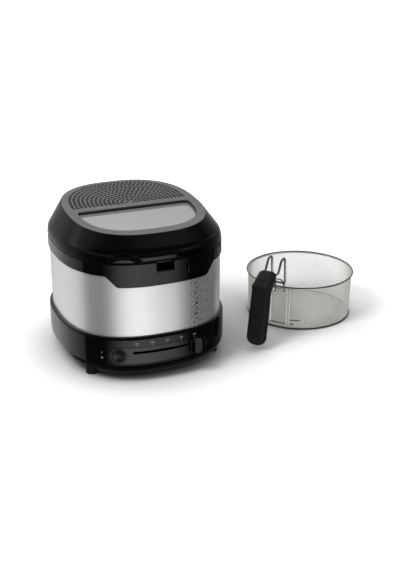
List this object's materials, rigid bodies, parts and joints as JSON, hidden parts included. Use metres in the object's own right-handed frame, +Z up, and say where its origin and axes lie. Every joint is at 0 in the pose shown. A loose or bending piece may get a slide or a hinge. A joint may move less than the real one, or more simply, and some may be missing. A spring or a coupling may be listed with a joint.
{
  "type": "deep fryer",
  "caption": "Compact electric deep fryer with hinged vented lid, viewing window, slider thermostat and a separate round wire basket with folding handle.",
  "frame": {"origin": "on the surface the set stands on, in the middle of the footprint of the fryer body and the basket beside it", "axes": "+X to the right seen from the front, towards the basket; +Y from the front to the back; +Z up"},
  "size_m": [0.5592, 0.3194, 0.2532],
  "materials": {
    "black_gloss": "glossy black moulded plastic",
    "black_matte": "fine matte black plastic",
    "grey_satin": "satin dark grey plastic",
    "steel_brushed": "vertically brushed stainless steel",
    "steel_wire": "bright drawn steel wire",
    "wire_mesh": "tinned woven wire mesh",
    "aluminium_dark": "dark non-stick coating on pressed aluminium",
    "aluminium": "plain pressed aluminium",
    "element": "heat-darkened tubular element sheath",
    "zinc": "zinc-plated steel",
    "rubber_black": "soft black rubber",
    "silicone_grey": "grey silicone seal",
    "silicone_red": "high-temperature red silicone",
    "window_glass": "toughened smoked glass",
    "lamp_red": "red neon lamp lens",
    "ceramic": "cream ceramic and phenolic insulation",
    "copper": "copper bulb and capillary",
    "lead_insulation": "silicone-insulated leads",
    "filter_metal": "stacked expanded-metal filter"
  },
  "bodies": {
    "body": {"base_housing": "black_gloss", "base_plate": "black_matte", "rubber_feet": "rubber_black", "base_screws": "zinc", "control_panel": "black_gloss", "button_ring": "grey_satin", "steel_band": "steel_brushed", "collar": "black_gloss", "collar_skirt": "black_gloss", "deck_plate": "black_gloss", "bowl": "aluminium_dark", "bowl_gasket": "silicone_red", "heat_shield": "aluminium", "heater_plate": "aluminium", "heating_element": "element", "heater_bracket": "zinc", "thermostat_body": "ceramic", "thermostat_probe": "copper", "thermal_fuse": "zinc", "terminal_block": "ceramic", "wiring": "lead_insulation", "switch_body": "ceramic", "pilot_lamp": "lamp_red", "cord_gland": "black_matte", "tie_rods": "zinc", "hinge_bracket": "black_matte", "hinge_pin": "zinc", "lid_springs": "zinc", "button_springs": "zinc"},
    "lid_release": {"release_button": "black_gloss", "latch_hook": "ceramic"},
    "power_switch": {"power_button": "black_gloss", "button_plunger": "ceramic"},
    "thermostat_slider": {"slider_knob": "black_matte", "slider_carriage": "zinc"},
    "lid": {"lid_shell": "black_gloss", "lid_top_plate": "grey_satin", "window_frame": "black_matte", "viewing_window": "window_glass", "window_gasket": "rubber_black", "vent_filter": "filter_metal", "filter_tray": "black_matte", "inner_pan": "aluminium_dark", "lid_seal": "silicone_grey", "lid_screws": "zinc", "finger_grip": "black_gloss", "latch_catch": "zinc", "lid_hinge_arm": "black_matte"},
    "basket": {"basket_mesh": "wire_mesh", "basket_rim_wire": "steel_wire", "basket_base_ring": "steel_wire", "basket_side_rails": "steel_wire", "basket_bracket": "steel_wire", "basket_tie_wires": "steel_wire"},
    "basket_handle": {"handle_wires": "steel_wire", "grip_outer": "black_matte", "grip_inner": "black_matte", "grip_screws": "zinc"}
  },
  "joints": [
    {"name": "lid_hinge", "type": "hinge", "parent": "body", "child": "lid", "pos_m": [-0.1416, 0.1552, 0.199], "axis": [-1, 0, 0], "range_deg": [0, 78]},
    {"name": "release_press", "type": "slide", "parent": "body", "child": "lid_release", "axis": [-0.3289, 0.9444, 0], "range_m": [0, 0.0035], "stiffness_N_per_m": 900, "springref_m": -0.002},
    {"name": "power_press", "type": "slide", "parent": "body", "child": "power_switch", "axis": [0.4404, 0.8978, 0], "range_m": [0, 0.003], "stiffness_N_per_m": 700, "springref_m": -0.002},
    {"name": "thermostat_slide", "type": "hinge", "parent": "body", "child": "thermostat_slider", "pos_m": [-0.1416, 0.1254, 0.052], "axis": [0, 0, 1], "range_deg": [-20.6, 0]},
    {"name": "basket_lift", "type": "slide", "parent": "body", "child": "basket", "axis": [0, 0, 1], "range_m": [0, 0.12]},
    {"name": "handle_fold", "type": "hinge", "parent": "basket", "child": "basket_handle", "pos_m": [0.10493, -0.04822, 0.09], "axis": [-0.6428, 0.766, 0], "range_deg": [0, 90]}
  ]
}
